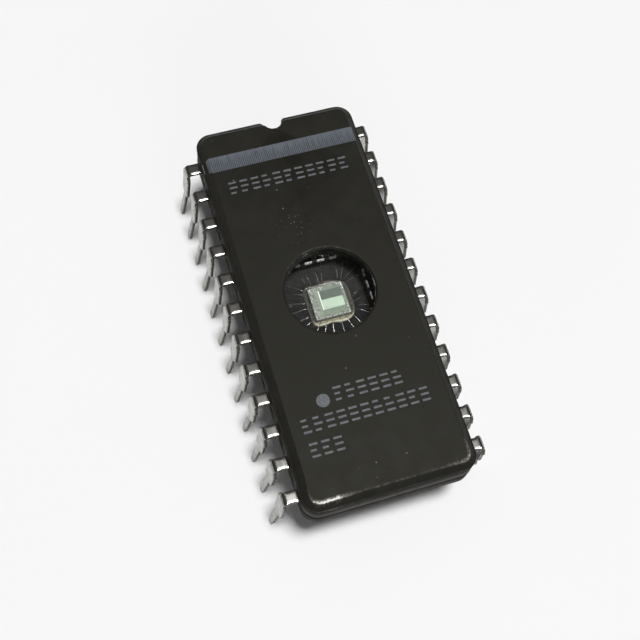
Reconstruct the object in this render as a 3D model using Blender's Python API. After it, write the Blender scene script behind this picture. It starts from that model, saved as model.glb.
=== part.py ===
"""Windowed memory chip in a 24-lead ceramic dual in-line package.

Metres, +Z up. The origin is on the plane of the lead tips, under the middle of the body.
The end with the index notch faces +Y. Lead 1 is the first of the -X row at that end, and the
numbers run down the -X row and back up the +X row.
"""
import math

import bmesh
import bpy
from mathutils import Matrix, Vector

# Gap kept between pieces that seat on or in each other
SEAT_GAP = 0.00001

# Lead pattern
LEADS_PER_ROW = 12
LEAD_PITCH = 0.00254
ROW_SPACING = 0.01524
LEAD_THICKNESS = 0.00028

# Lead outside the body: the shoulder, its bend, the wide leg and the narrow pin
SHOULDER_TOP = 0.00645
SHOULDER_WIDTH = 0.00096
BEND_RADIUS = 0.00030
FLARE_LENGTH = 0.00018
LEG_WIDTH = 0.00134
LEG_LENGTH = 0.00255
LEG_SPLAY = math.radians(5.0)
STUB_START = 0.00036
STUB_LENGTH = 0.00034
STUB_REACH = 0.00010
TAPER_LENGTH = 0.00036
PIN_WIDTH = 0.00056
PIN_SPLAY = math.radians(10.0)
TIP_LENGTH = 0.00034
TIP_WIDTH = 0.00020

# Inner lead fingers, in the glass
FINGER_WIDTH = 0.00050
FINGER_TIP_WIDTH = 0.00062
FINGER_TIP_LENGTH = 0.00045
FINGER_TIP_TAPER = 0.00018
FINGER_PITCH = 0.00100
NECK_DEPTH = 0.00025
NECK_TAPER = 0.00035

# Ceramic body: its ends lie beyond the last leads, and its sides inside the rows
BODY_END_MARGIN = 0.00198
BODY_SIDE_MARGIN = 0.00107
BODY_CORNER_RADIUS = 0.00128
BASE_THICKNESS = 0.00165
BASE_BEVEL = 0.00030
GLASS_THICKNESS = 0.00100
GLASS_UNDER_LEAD = 0.00007
GLASS_SETBACK = 0.00003
CAP_THICKNESS = 0.00128
CAP_SETBACK = 0.00004
CAP_LAND = 0.00012
CAP_BEVEL_RUN = 0.00046
CAP_BEVEL_DROP = 0.00050

# Index notch in the +Y end
NOTCH_RADIUS = 0.00075
NOTCH_DEPTH = 0.00112
NOTCH_LIP_RADIUS = 0.00035

# Die cavity, the opening in the glass above it, and the shelf of bare finger tips round it
CAVITY_WIDTH = 0.00650
CAVITY_LENGTH = 0.00676
CAVITY_DEPTH = 0.00055
CAVITY_CORNER_RADIUS = 0.00140
CAVITY_DRAFT = 0.00004
GLASS_OPENING_MARGIN = 0.00006
GLASS_OPENING_CORNER_RADIUS = 0.00090
SHELF_WIDTH = 0.00085
SHELF_CORNER_RADIUS = 0.00140

# Window
WINDOW_DIAMETER = 0.00704
WINDOW_RECESS = 0.00012
WINDOW_EDGE_ROUND = 0.00012
WINDOW_CENTRE_X = 0.00010
MENISCUS_REACH = 0.00024
MENISCUS_RISE = 0.00006
HOLE_CHAMFER = 0.00008

# Die and the bed that holds it
DIE_WIDTH = 0.00282
DIE_LENGTH = 0.00272
DIE_THICKNESS = 0.00038
DIE_CENTRE = (0.00020, 0.00006)
ATTACH_FILM = 0.00004
ATTACH_CORNER_RADIUS = 0.00070

# Profile of the bed's rim, from the cavity floor up: height, and reach beyond the die
ATTACH_PROFILE = ((0.0, 0.00042), (0.00003, 0.00040), (0.00008, 0.00023), (0.00012, 0.00006))

# The rim's outline swings in and out in two waves: swing, waves round the die, phase
ATTACH_WAVES = ((0.000050, 3, 0.7), (0.000030, 5, -1.1))

# Bond wires
WIRE_DIAMETER = 0.000040
WIRE_FOOT = 0.00014
WIRE_LOOP = 0.00047
WIRE_LOOP_SKEW = 0.72
PAD_INSET = 0.00011
FINGER_BOND_INSET = 0.00024

# Pads along each side of the die: the first half are measured from the side's first corner,
# and the others from its last corner. Far and near run towards +X, left and right towards +Y.
PADS_FAR = (0.00021, 0.00043, 0.00105, 0.00163, 0.00033, 0.00013)
PADS_NEAR = (0.00055, 0.00091, 0.00115, 0.00123, 0.00093, 0.00053)
PADS_LEFT = (0.00012, 0.00032, 0.00088, 0.00162, 0.00098, 0.00074)
PADS_RIGHT = (0.00012, 0.00030, 0.00058, 0.00192, 0.00052, 0.00028)

# Facets of round forms
CORNER_STEPS = 5
NOTCH_STEPS = 10
WINDOW_SEGMENTS = 48
WINDOW_SMOOTH_ANGLE = math.radians(35.0)
MENISCUS_STEPS = 3
BEND_STEPS = 4
TIP_STEPS = 3
WIRE_STEPS = 10

# Sizes and levels worked out from the sizes above
BODY_LENGTH = (LEADS_PER_ROW - 1) * LEAD_PITCH + 2 * BODY_END_MARGIN
BODY_WIDTH = ROW_SPACING - 2 * BODY_SIDE_MARGIN
MIDDLE_ROW = (LEADS_PER_ROW - 1) / 2
FINGERS_PER_SIDE = LEADS_PER_ROW // 2
FINGER_REACH = CAVITY_LENGTH / 2
LEAD_BOTTOM = SHOULDER_TOP - LEAD_THICKNESS
SHELF_LEVEL = SHOULDER_TOP - LEAD_THICKNESS / 2
BASE_TOP = LEAD_BOTTOM - GLASS_UNDER_LEAD
BASE_BOTTOM = BASE_TOP - BASE_THICKNESS
GLASS_TOP = BASE_TOP + GLASS_THICKNESS
CAP_TOP = GLASS_TOP + CAP_THICKNESS
CAVITY_FLOOR = BASE_TOP - CAVITY_DEPTH
DIE_BOTTOM = CAVITY_FLOOR + SEAT_GAP + ATTACH_FILM
DIE_TOP = DIE_BOTTOM + DIE_THICKNESS


def clear_scene():
    for thing in list(bpy.data.objects):
        bpy.data.objects.remove(thing, do_unlink=True)


def make_material(name, colour, roughness, metallic, alpha=1.0):
    material = bpy.data.materials.new(name)
    material.use_nodes = True
    shader = material.node_tree.nodes["Principled BSDF"]
    shader.inputs["Base Color"].default_value = (*colour, 1.0)
    shader.inputs["Roughness"].default_value = roughness
    shader.inputs["Metallic"].default_value = metallic
    shader.inputs["Alpha"].default_value = alpha
    return material


def add_object(name, mesh, material=None):
    thing = bpy.data.objects.new(name, mesh)
    bpy.context.collection.objects.link(thing)
    if material is not None and not mesh.materials:
        mesh.materials.append(material)
    return thing


def mesh_from_bmesh(name, bm, smooth_angle=None):
    bmesh.ops.recalc_face_normals(bm, faces=bm.faces)
    mesh = bpy.data.meshes.new(name)
    bm.to_mesh(mesh)
    bm.free()
    if smooth_angle is not None:
        mesh.shade_smooth()
        mesh.set_sharp_from_angle(angle=smooth_angle)
    return mesh


def loft(bm, rings):
    """Skin a list of closed rings that have the same number of points, with both ends filled."""
    loops = [[bm.verts.new(point) for point in ring] for ring in rings]
    count = len(loops[0])
    for low, high in zip(loops, loops[1:]):
        for i in range(count):
            j = (i + 1) % count
            bm.faces.new((low[i], low[j], high[j], high[i]))
    bm.faces.new(list(reversed(loops[0])))
    bm.faces.new(loops[-1])


def arc(centre, radius, start, end, steps):
    """Points on an arc in the plane, both ends included; angles are in degrees."""
    points = []
    for i in range(steps + 1):
        angle = math.radians(start + (end - start) * i / steps)
        points.append((centre[0] + radius * math.cos(angle), centre[1] + radius * math.sin(angle)))
    return points


def rounded_rectangle(width, length, radius, centre=(0.0, 0.0)):
    """Counterclockwise outline of a rectangle with round corners."""
    x = width / 2 - radius
    y = length / 2 - radius
    outline = []
    for corner_x, corner_y, start in ((x, -y, -90), (x, y, 0), (-x, y, 90), (-x, -y, 180)):
        corner = (centre[0] + corner_x, centre[1] + corner_y)
        outline += arc(corner, radius, start, start + 90, CORNER_STEPS)
    return outline


def body_ring(z, inset):
    """The body's outline, moved in by inset on all sides, at height z."""
    radius = BODY_CORNER_RADIUS - inset
    outline = rounded_rectangle(BODY_WIDTH - 2 * inset, BODY_LENGTH - 2 * inset, radius)
    return [(x, y, z) for x, y in outline]


def cutter_object(name, rings):
    bm = bmesh.new()
    loft(bm, rings)
    return hide_cutter(add_object(name, mesh_from_bmesh(name, bm)))


def hide_cutter(cutter):
    cutter.hide_render = True
    cutter.display_type = "WIRE"
    return cutter


def cut(target, cutter, solver="EXACT"):
    modifier = target.modifiers.new("cut_" + cutter.name, "BOOLEAN")
    modifier.operation = "DIFFERENCE"
    modifier.solver = solver
    modifier.object = cutter


def notch_cutter():
    """The half-round index notch with its two rounded lips, through the whole height."""
    end = BODY_LENGTH / 2
    beyond = end + NOTCH_RADIUS
    floor_y = end - NOTCH_DEPTH + NOTCH_RADIUS
    lip_x = NOTCH_RADIUS + NOTCH_LIP_RADIUS
    lip_y = end - NOTCH_LIP_RADIUS
    outline = [(-lip_x, beyond)]
    outline += arc((-lip_x, lip_y), NOTCH_LIP_RADIUS, 90, 0, CORNER_STEPS)
    outline += arc((0.0, floor_y), NOTCH_RADIUS, 180, 360, NOTCH_STEPS)
    outline += arc((lip_x, lip_y), NOTCH_LIP_RADIUS, 180, 90, CORNER_STEPS)
    outline += [(lip_x, beyond)]
    low = BASE_BOTTOM - NOTCH_RADIUS
    high = CAP_TOP + NOTCH_RADIUS
    return cutter_object("notch_cutter", [[(x, y, z) for x, y in outline] for z in (low, high)])


def make_base(material, notch):
    """The base plate. The cavity's cutter rises as far above it as the cavity is deep."""
    bm = bmesh.new()
    loft(bm, [
        body_ring(BASE_BOTTOM, BASE_BEVEL),
        body_ring(BASE_BOTTOM + BASE_BEVEL, 0.0),
        body_ring(BASE_TOP, 0.0),
    ])
    base = add_object("ceramic_base", mesh_from_bmesh("ceramic_base", bm), material)
    rings = []
    for z, grow in ((CAVITY_FLOOR, 0.0), (BASE_TOP + CAVITY_DEPTH, 2 * CAVITY_DRAFT)):
        outline = rounded_rectangle(
            CAVITY_WIDTH + 2 * grow, CAVITY_LENGTH + 2 * grow, CAVITY_CORNER_RADIUS)
        rings.append([(x, y, z) for x, y in outline])
    cut(base, cutter_object("cavity_cutter", rings))
    cut(base, notch)
    return base


def make_cap(material, notch):
    low = GLASS_TOP + SEAT_GAP
    bevel_start = CAP_TOP - CAP_BEVEL_DROP
    bm = bmesh.new()
    loft(bm, [
        body_ring(low, CAP_SETBACK),
        body_ring(bevel_start, CAP_SETBACK),
        body_ring(bevel_start, CAP_SETBACK + CAP_LAND),
        body_ring(CAP_TOP, CAP_SETBACK + CAP_LAND + CAP_BEVEL_RUN),
    ])
    cap = add_object("ceramic_cap", mesh_from_bmesh("ceramic_cap", bm), material)
    hole_radius = WINDOW_DIAMETER / 2
    chamfer_z = CAP_TOP - HOLE_CHAMFER
    above = CAP_TOP + HOLE_CHAMFER
    profile = [
        (hole_radius, low - CAP_THICKNESS),
        (hole_radius, chamfer_z),
        (hole_radius + above - chamfer_z, above),
    ]
    cut(cap, cutter_object("window_cutter", turned_rings(profile, (WINDOW_CENTRE_X, 0.0))))
    cut(cap, notch)
    return cap


def turned_rings(profile, centre):
    """One ring for each (radius, height) pair of a turned form."""
    rings = []
    for radius, z in profile:
        circle = []
        for i in range(WINDOW_SEGMENTS):
            angle = 2 * math.pi * i / WINDOW_SEGMENTS
            x = centre[0] + radius * math.cos(angle)
            y = centre[1] + radius * math.sin(angle)
            circle.append((x, y, z))
        rings.append(circle)
    return rings


def make_window(material):
    """The glass disc, whose top climbs a little at the wall of the hole, as melted glass does."""
    radius = WINDOW_DIAMETER / 2 - SEAT_GAP
    low = GLASS_TOP + SEAT_GAP
    high = CAP_TOP - WINDOW_RECESS
    profile = [(radius - WINDOW_EDGE_ROUND, low), (radius, low + WINDOW_EDGE_ROUND)]
    for step in range(MENISCUS_STEPS + 1):
        share = step / MENISCUS_STEPS
        drop = MENISCUS_RISE * (1 - (1 - share) ** 3)
        profile.append((radius - MENISCUS_REACH * share, high - drop))
    bm = bmesh.new()
    loft(bm, turned_rings(profile, (WINDOW_CENTRE_X, 0.0)))
    mesh = mesh_from_bmesh("window", bm, WINDOW_SMOOTH_ANGLE)
    return add_object("window", mesh, material)


def finger_places():
    """Where each lead of the -X row ends at the cavity: its side, and its place along that side.

    The quarter of the leads nearest an end turn to that end's side of the cavity, and the half
    in the middle go straight to the -X side.
    """
    places = []
    end_fingers = FINGERS_PER_SIDE // 2
    for row in range(LEADS_PER_ROW):
        if row < end_fingers:
            places.append(("far", -(row + 0.5) * FINGER_PITCH))
        elif row < end_fingers + FINGERS_PER_SIDE:
            places.append(("left", (MIDDLE_ROW - row) * FINGER_PITCH))
        else:
            places.append(("near", -(LEADS_PER_ROW - 0.5 - row) * FINGER_PITCH))
    return places


def lead_y(row):
    return (MIDDLE_ROW - row) * LEAD_PITCH


def finger_route(row):
    """Middle line of a finger in plan, from its tip at the cavity out to the body's side.

    The diagonal stretches of neighbouring fingers run side by side, because their turns are set
    by the same shares of the way from the cavity to the lead's own place in the row.
    """
    side, place = finger_places()[row]
    y = lead_y(row)
    outer = BODY_WIDTH / 2 - NECK_DEPTH - NECK_TAPER
    if side == "left":
        turn = FINGER_REACH + FINGER_TIP_LENGTH
        return [(-FINGER_REACH, place), (-turn, place), (-outer, y)]
    sign = 1 if side == "far" else -1
    reach = sign * FINGER_REACH
    run = outer - abs(place) - FINGER_PITCH / 2
    turn = y - sign * run
    return [(place, reach), (place, turn), (-outer + FINGER_PITCH / 2, y), (-outer, y)]


def flat_stations(row):
    """Stations of the finger and shoulder: middle point, half-width vector across, in plan."""
    points = [Vector((x, y)) for x, y in finger_route(row)]
    outer = points[-1]
    first = (points[1] - points[0]).normalized()
    widths = [FINGER_TIP_WIDTH, FINGER_TIP_WIDTH]
    route = [points[0], points[0] + first * (FINGER_TIP_LENGTH - FINGER_TIP_TAPER)]
    for point in points[1:]:
        route.append(point)
        widths.append(FINGER_WIDTH)
    route.append(Vector((outer.x - NECK_TAPER, outer.y)))
    widths.append(SHOULDER_WIDTH)
    stations = []
    for i, point in enumerate(route):
        before = route[i] - route[i - 1] if i > 0 else route[1] - route[0]
        after = route[i + 1] - route[i] if i + 1 < len(route) else Vector((-1.0, 0.0))
        before.normalize()
        after.normalize()
        middle = (before + after).normalized()
        across = Vector((-middle.y, middle.x)) / middle.dot(after)
        stations.append((point, across * (widths[i] / 2)))
    return stations


def plan_ring(station, low, high, grow=0.0):
    """A cross-section of the flat part of a lead."""
    point, across = station
    across = across * (1 + grow / across.length)
    ends = (point + across, point - across)
    return [
        (ends[0].x, ends[0].y, low),
        (ends[1].x, ends[1].y, low),
        (ends[1].x, ends[1].y, high),
        (ends[0].x, ends[0].y, high),
    ]


def leg_widths(pin_end):
    """Distance down from the end of the bend, and the full width there.

    The stubs are what is left of the bar that tied the leads together, and the tip is round.
    """
    stub_width = LEG_WIDTH + 2 * STUB_REACH
    stub_end = STUB_START + STUB_LENGTH
    tip_start = pin_end - TIP_LENGTH
    widths = [
        (FLARE_LENGTH, LEG_WIDTH),
        (STUB_START, LEG_WIDTH),
        (STUB_START, stub_width),
        (stub_end, stub_width),
        (stub_end, LEG_WIDTH),
        (LEG_LENGTH, LEG_WIDTH),
        (LEG_LENGTH + TAPER_LENGTH, PIN_WIDTH),
    ]
    for step in range(TIP_STEPS + 1):
        angle = math.pi / 2 * step / TIP_STEPS
        width = TIP_WIDTH + (PIN_WIDTH - TIP_WIDTH) * math.cos(angle)
        widths.append((tip_start + TIP_LENGTH * math.sin(angle), width))
    return widths


def leaning(angle):
    """The ways out of the face and down it, for a leg of the -X row that leans out by angle."""
    out = Vector((-math.cos(angle), 0.0, math.sin(angle)))
    down = Vector((-math.sin(angle), 0.0, -math.cos(angle)))
    return out, down


def lead_rings(row):
    """All cross-sections of one lead of the -X row, from the cavity to the pin's tip."""
    y = lead_y(row)
    rings = [plan_ring(station, LEAD_BOTTOM, SHOULDER_TOP) for station in flat_stations(row)]

    outer_face = ROW_SPACING / 2 + LEAD_THICKNESS / 2
    outer_radius = BEND_RADIUS + LEAD_THICKNESS
    centre = Vector((-(outer_face - outer_radius), 0.0, SHOULDER_TOP - outer_radius))

    def across_ring(inner, outer, width):
        return [
            (inner.x, y - width / 2, inner.z),
            (inner.x, y + width / 2, inner.z),
            (outer.x, y + width / 2, outer.z),
            (outer.x, y - width / 2, outer.z),
        ]

    for step in range(BEND_STEPS + 1):
        lean = math.pi / 2 + (LEG_SPLAY - math.pi / 2) * step / BEND_STEPS
        out, down = leaning(lean)
        inner = centre + out * BEND_RADIUS
        rings.append(across_ring(inner, centre + out * outer_radius, SHOULDER_WIDTH))

    kink = LEG_LENGTH + TAPER_LENGTH
    kink_point = inner + down * kink
    pin_down = leaning(PIN_SPLAY)[1]
    pin_end = kink + kink_point.z / -pin_down.z
    for distance, width in leg_widths(pin_end):
        if distance < kink:
            out = leaning(LEG_SPLAY)[0]
            point = inner + down * distance
        elif distance == kink:
            out = leaning((LEG_SPLAY + PIN_SPLAY) / 2)[0]
            point = kink_point
        else:
            out = leaning(PIN_SPLAY)[0]
            point = kink_point + pin_down * (distance - kink)
        rings.append(across_ring(point, point + out * LEAD_THICKNESS, width))
    rings[-1] = [(x, y, 0.0) for x, y, z in rings[-1]]
    return rings


def make_leads(material):
    half_turn = Matrix.Rotation(math.pi, 4, "Z")
    for row in range(LEADS_PER_ROW):
        bm = bmesh.new()
        loft(bm, lead_rings(row))
        mesh = mesh_from_bmesh("lead_%02d" % (row + 1), bm)
        add_object("lead_%02d" % (row + 1), mesh, material)
        twin = add_object("lead_%02d" % (row + 1 + LEADS_PER_ROW), mesh)
        twin.matrix_world = half_turn


def make_glass(material, notch):
    """The glass frame, with each lead in a slot of its own.

    Its opening steps back above the shelf, so the finger tips lie half sunk and bare on top,
    where the bond wires land. The exact solver loses the shelf where slanted slots cross it,
    so this piece alone is cut with the manifold one.
    """
    inset = GLASS_SETBACK
    bm = bmesh.new()
    loft(bm, [
        body_ring(BASE_TOP + SEAT_GAP, inset),
        body_ring(GLASS_TOP, inset + CAP_SETBACK),
    ])
    glass = add_object("seal_glass", mesh_from_bmesh("seal_glass", bm), material)
    cut(glass, lead_slot_cutter(), "MANIFOLD")
    for name, margin, radius, low in (
        ("opening_cutter", GLASS_OPENING_MARGIN, GLASS_OPENING_CORNER_RADIUS, BASE_BOTTOM),
        ("shelf_cutter", SHELF_WIDTH, SHELF_CORNER_RADIUS, SHELF_LEVEL),
    ):
        side = 2 * (FINGER_REACH + margin)
        opening = rounded_rectangle(side, side, radius)
        rings = [[(x, y, z) for x, y in opening] for z in (low, CAP_TOP)]
        cut(glass, cutter_object(name, rings), "MANIFOLD")
    cut(glass, notch, "MANIFOLD")
    return glass


def lead_slot_cutter():
    """One tunnel round each finger and shoulder, from the cavity to past the body's side."""
    bm = bmesh.new()
    low = LEAD_BOTTOM - SEAT_GAP
    high = SHOULDER_TOP + SEAT_GAP
    for turn in (1, -1):
        for row in range(LEADS_PER_ROW):
            stations = flat_stations(row)
            first, across = stations[0]
            inward = (first - stations[1][0]).normalized()
            stations[0] = (first + inward * GLASS_OPENING_MARGIN, across)
            last, across = stations[-1]
            stations.append((Vector((-BODY_WIDTH / 2 - GLASS_OPENING_MARGIN, last.y)), across))
            rings = []
            for station in stations:
                ring = plan_ring(station, low, high, SEAT_GAP)
                rings.append([(turn * x, turn * y, z) for x, y, z in ring])
            loft(bm, rings)
    return hide_cutter(add_object("slot_cutter", mesh_from_bmesh("slot_cutter", bm)))


def make_die(material):
    bm = bmesh.new()
    x = DIE_WIDTH / 2
    y = DIE_LENGTH / 2
    corners = [(x, -y), (x, y), (-x, y), (-x, -y)]
    rings = []
    for z in (DIE_BOTTOM, DIE_TOP):
        rings.append([(DIE_CENTRE[0] + cx, DIE_CENTRE[1] + cy, z) for cx, cy in corners])
    loft(bm, rings)
    return add_object("die", mesh_from_bmesh("die", bm), material)


def make_die_attach(material):
    """A shallow mound with an uneven rim, and the die's seat sunk in it."""
    low = CAVITY_FLOOR + SEAT_GAP
    widest = ATTACH_PROFILE[0][1]

    def ring(height, margin):
        width = DIE_WIDTH + 2 * margin
        length = DIE_LENGTH + 2 * margin
        points = rounded_rectangle(width, length, ATTACH_CORNER_RADIUS)
        wavy = []
        for x, y in points:
            angle = math.atan2(y, x)
            swing = sum(size * math.sin(waves * angle + phase) for size, waves, phase in ATTACH_WAVES)
            grow = 1 + swing * (margin / widest) / math.hypot(x, y)
            wavy.append((DIE_CENTRE[0] + x * grow, DIE_CENTRE[1] + y * grow, low + height))
        return wavy

    bm = bmesh.new()
    loft(bm, [ring(height, margin) for height, margin in ATTACH_PROFILE])
    attach = add_object("die_attach", mesh_from_bmesh("die_attach", bm), material)
    seat = rounded_rectangle(
        DIE_WIDTH + 2 * SEAT_GAP, DIE_LENGTH + 2 * SEAT_GAP, SEAT_GAP, DIE_CENTRE)
    heights = (DIE_BOTTOM - SEAT_GAP, DIE_TOP)
    cut(attach, cutter_object("seat_cutter", [[(x, y, z) for x, y in seat] for z in heights]))
    return attach


def pad_places(pads, side_length):
    """Places of a side's pads, measured from the middle of the side."""
    half = len(pads) // 2
    first = [pad - side_length / 2 for pad in pads[:half]]
    last = [side_length / 2 - pad for pad in pads[half:]]
    return first + last


def wire_ends():
    """Pad and finger place of every bond wire, in the order of the leads."""
    half_width = DIE_WIDTH / 2 - PAD_INSET
    half_length = DIE_LENGTH / 2 - PAD_INSET
    bond = FINGER_REACH + FINGER_BOND_INSET
    count = len(PADS_FAR)
    places = [(i - (count - 1) / 2) * FINGER_PITCH for i in range(count)]
    across = list(zip(pad_places(PADS_FAR, DIE_WIDTH), pad_places(PADS_NEAR, DIE_WIDTH), places))
    along = list(zip(pad_places(PADS_LEFT, DIE_LENGTH), pad_places(PADS_RIGHT, DIE_LENGTH), places))
    far = [((pad, half_length), (place, bond)) for pad, _, place in across]
    near = [((pad, -half_length), (place, -bond)) for _, pad, place in across]
    left = [((-half_width, pad), (-bond, place)) for pad, _, place in along]
    right = [((half_width, pad), (bond, place)) for _, pad, place in along]
    half = count // 2
    order = far[:half][::-1] + left[::-1] + near + right + far[half:][::-1]
    return [(Vector(pad) + Vector(DIE_CENTRE), Vector(finger)) for pad, finger in order]


def make_wires(material):
    radius = WIRE_DIAMETER / 2
    start_z = DIE_TOP + SEAT_GAP + radius
    end_z = SHOULDER_TOP + SEAT_GAP + radius
    for number, (pad, finger) in enumerate(wire_ends(), start=1):
        along = (finger - pad).normalized()
        points = [(*(pad - along * WIRE_FOOT), start_z)]
        for step in range(WIRE_STEPS + 1):
            share = step / WIRE_STEPS
            place = pad.lerp(finger, share)
            rise = WIRE_LOOP * math.sin(math.pi * share ** WIRE_LOOP_SKEW)
            points.append((*place, start_z + (end_z - start_z) * share + rise))
        points.append((*(finger + along * WIRE_FOOT), end_z))
        name = "bond_wire_%02d" % number
        curve = bpy.data.curves.new(name, "CURVE")
        curve.dimensions = "3D"
        curve.bevel_depth = radius
        curve.bevel_resolution = 1
        curve.use_fill_caps = True
        spline = curve.splines.new("POLY")
        spline.points.add(len(points) - 1)
        for target, point in zip(spline.points, points):
            target.co = (*point, 1.0)
        curve.materials.append(material)
        wire = bpy.data.objects.new(name, curve)
        bpy.context.collection.objects.link(wire)


def main():
    clear_scene()
    ceramic = make_material("dark_ceramic", (0.033, 0.032, 0.026), 0.62, 0.0)
    frit = make_material("sealing_glass", (0.075, 0.070, 0.060), 0.40, 0.0)
    clear_glass = make_material("window_glass", (0.90, 0.92, 0.93), 0.03, 0.0, 0.35)
    silicon = make_material("silicon", (0.35, 0.45, 0.40), 0.30, 0.5)
    bed = make_material("die_bed", (0.55, 0.47, 0.33), 0.45, 0.6)
    tin = make_material("tin_plate", (0.55, 0.55, 0.52), 0.38, 1.0)
    aluminium = make_material("aluminium_wire", (0.85, 0.85, 0.85), 0.25, 1.0)
    notch = notch_cutter()
    make_base(ceramic, notch)
    make_glass(frit, notch)
    make_cap(ceramic, notch)
    make_window(clear_glass)
    make_die_attach(bed)
    make_die(silicon)
    make_leads(tin)
    make_wires(aluminium)


main()
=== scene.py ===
"""Looks of the windowed memory chip.

Sizes and places are in millimetres in the chip's own frame, and each mesh is scaled to metres as
it is made. The index notch is at the far end, +Y, and the near end is -Y.
"""
import math
from random import Random

import bmesh
import bpy
from mathutils import Matrix, Vector, noise


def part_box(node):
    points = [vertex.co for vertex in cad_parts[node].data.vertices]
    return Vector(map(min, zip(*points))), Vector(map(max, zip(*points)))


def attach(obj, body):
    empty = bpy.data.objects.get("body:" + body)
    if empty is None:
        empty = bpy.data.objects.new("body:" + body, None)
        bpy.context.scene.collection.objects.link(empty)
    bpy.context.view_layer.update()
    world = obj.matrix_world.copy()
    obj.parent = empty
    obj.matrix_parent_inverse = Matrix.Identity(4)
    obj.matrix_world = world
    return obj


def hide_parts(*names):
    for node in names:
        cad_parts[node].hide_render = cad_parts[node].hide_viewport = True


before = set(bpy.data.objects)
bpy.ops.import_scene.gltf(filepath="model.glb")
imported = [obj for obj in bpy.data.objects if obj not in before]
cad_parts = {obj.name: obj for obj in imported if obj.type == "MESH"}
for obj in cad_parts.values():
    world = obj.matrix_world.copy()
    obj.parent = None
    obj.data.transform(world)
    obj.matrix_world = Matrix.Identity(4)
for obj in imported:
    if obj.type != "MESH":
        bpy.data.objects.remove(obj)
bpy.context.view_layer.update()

MM = 0.001

# Lead pattern and lead form
LEADS_PER_ROW = 12
LEAD_PITCH = 2.54
ROW_SPACING = 15.24
LEAD_THICKNESS = 0.28
SHOULDER_WIDTH = 0.96
BEND_RADIUS = 0.14
BEND_RISE = 0.16
FLARE_LENGTH = 0.18
LEG_WIDTH = 1.34
LEG_LENGTH = 2.55
LEG_SPLAY = math.radians(5.0)
STUB_START = 0.36
STUB_LENGTH = 0.34
STUB_REACH = 0.07
TAPER_LENGTH = 0.36
PIN_WIDTH = 0.56
PIN_SPLAY = math.radians(10.0)
TIP_LENGTH = 0.34
TIP_WIDTH = 0.20
FINGER_WIDTH = 0.50
FINGER_TIP_WIDTH = 0.62
FINGER_TIP_LENGTH = 0.45
FINGER_TIP_TAPER = 0.18
FINGER_PITCH = 1.00
FINGER_REACH = 3.38
NECK_DEPTH = 0.25
NECK_TAPER = 0.35

# Ceramic body
CORNER_RADIUS = 1.28
BASE_BEVEL = 0.30
CAP_LAND = 0.12
CAP_BEVEL_RUN = 0.46
CAP_BEVEL_DROP = 0.50
NOTCH_RADIUS = 0.75
NOTCH_DEPTH = 1.12
NOTCH_LIP = 0.35

# Cavity, window and die
CAVITY_WIDTH = 6.50
CAVITY_LENGTH = 6.76
CAVITY_CORNER = 1.40
CAVITY_FLOOR = 5.55
WELL_STEPS = (30, 12)
SHELF_WIDTH = 0.85
SHELF_CORNER = 1.40
SHELF_STEPS = (24, 10)
WINDOW_RADIUS = 3.52
WINDOW_X = 0.10

# Fields of the die's face, as low x, low y, high x, high y
CORE_FIELD = (-0.78, -1.04, 1.42, 1.30)
SENSE_FIELD = (-0.47, -0.57, -0.37, 1.06)
PALE_FIELD = (-0.35, -0.57, 1.32, 0.26)
DARK_FIELD = (-0.35, 0.28, 1.36, 1.01)
FIELD_THICKNESS = 0.004
PAD_SIZE = 0.11
TRACE_COUNT = 420
COLUMN_COUNT = 5
COLUMN_PITCH = 0.052
COLUMN_WIDTH = 0.016

# Bed under the die: a squarish outline with a slow wave in it, and the profile of its rim
BED_CENTRE = (0.24, 0.07)
BED_HALF = (1.79, 1.76)
BED_POWER = 4.8
BED_WAVES = ((0.02, 3, 2.4), (0.05, 5, 1.3), (0.04, 7, -1.8))
BED_HEIGHT = 0.12
BED_STEPS = 96

# Bond wires
WIRE_RADIUS = 0.020
LOOP_REACH = 0.70
LOOP_RISE = 0.35
LOOP_SOFTNESS = 0.12
LOOP_STEPS = 44
WIRE_SIDES = 10
WIRE_FOOT = 0.14
WEDGE_LENGTH = 0.8 * WIRE_FOOT

# Wedge foot of a wire from its free end on: share of the way, half-width and half-height
WEDGE = ((0.0, 0.022, 0.006), (0.15, 0.034, 0.008), (0.8, 0.032, 0.010), (1.0, 0.018, 0.014))

# Print on the cap
BAND_LOW = 12.05
BAND_HIGH = 13.40
INK_THICKNESS = 0.006
HATCH_PITCH = 0.15
MARK_HEIGHT = 1.06
MARK_WIDTH = 0.62
MARK_GAP = 0.28
MARK_STROKE = 0.16
MARK_BARS = 3
INK_ROOT = 0.02

# Traces of the band on the bevels: side, reach down the bevel, and what is missing at both ends
BEVEL_TRACES = ((-1, 0.20, 0.10, 0.05), (1, 0.12, 0.05, 0.0))

# Rows of marks: left end, middle line and number of marks
MARK_ROWS = ((-4.95, 10.35, 11), (-2.10, -8.02, 6), (-5.05, -9.80, 11), (-4.95, -11.62, 3))
MARK_DISC = (-3.02, -8.28)
MARK_DISC_RADIUS = 0.50
DISC_STEPS = 40

# Lamps, with places in metres, of which the key's only tells its direction, and the room's tones
KEY_FROM = (0.055, -0.03, 0.50)
KEY_ANGLE = 0.225
KEY_STRENGTH = 2.75
FRONT_PLACE = (-0.02, -0.36, 0.15)
FRONT_TARGET = (0.0, 0.0, 0.005)
FRONT_SIZE = (0.24, 0.06)
FRONT_POWER = 0.12
HORIZON = 0.80
WALL = 0.026
ROOF = 0.13

# Half the side of the floor, in metres
FLOOR_HALF = 0.9

# Camera, fitted to the two rows of leads in the photograph
CAMERA_PLACE = (-13.68, -28.49, 76.71)
CAMERA_TURN = (22.768, -3.399, -17.010)
CAMERA_LENS = 56.13
SENSOR = 36.0


def box_mm(node):
    low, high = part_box(node)
    return low / MM, high / MM


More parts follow.
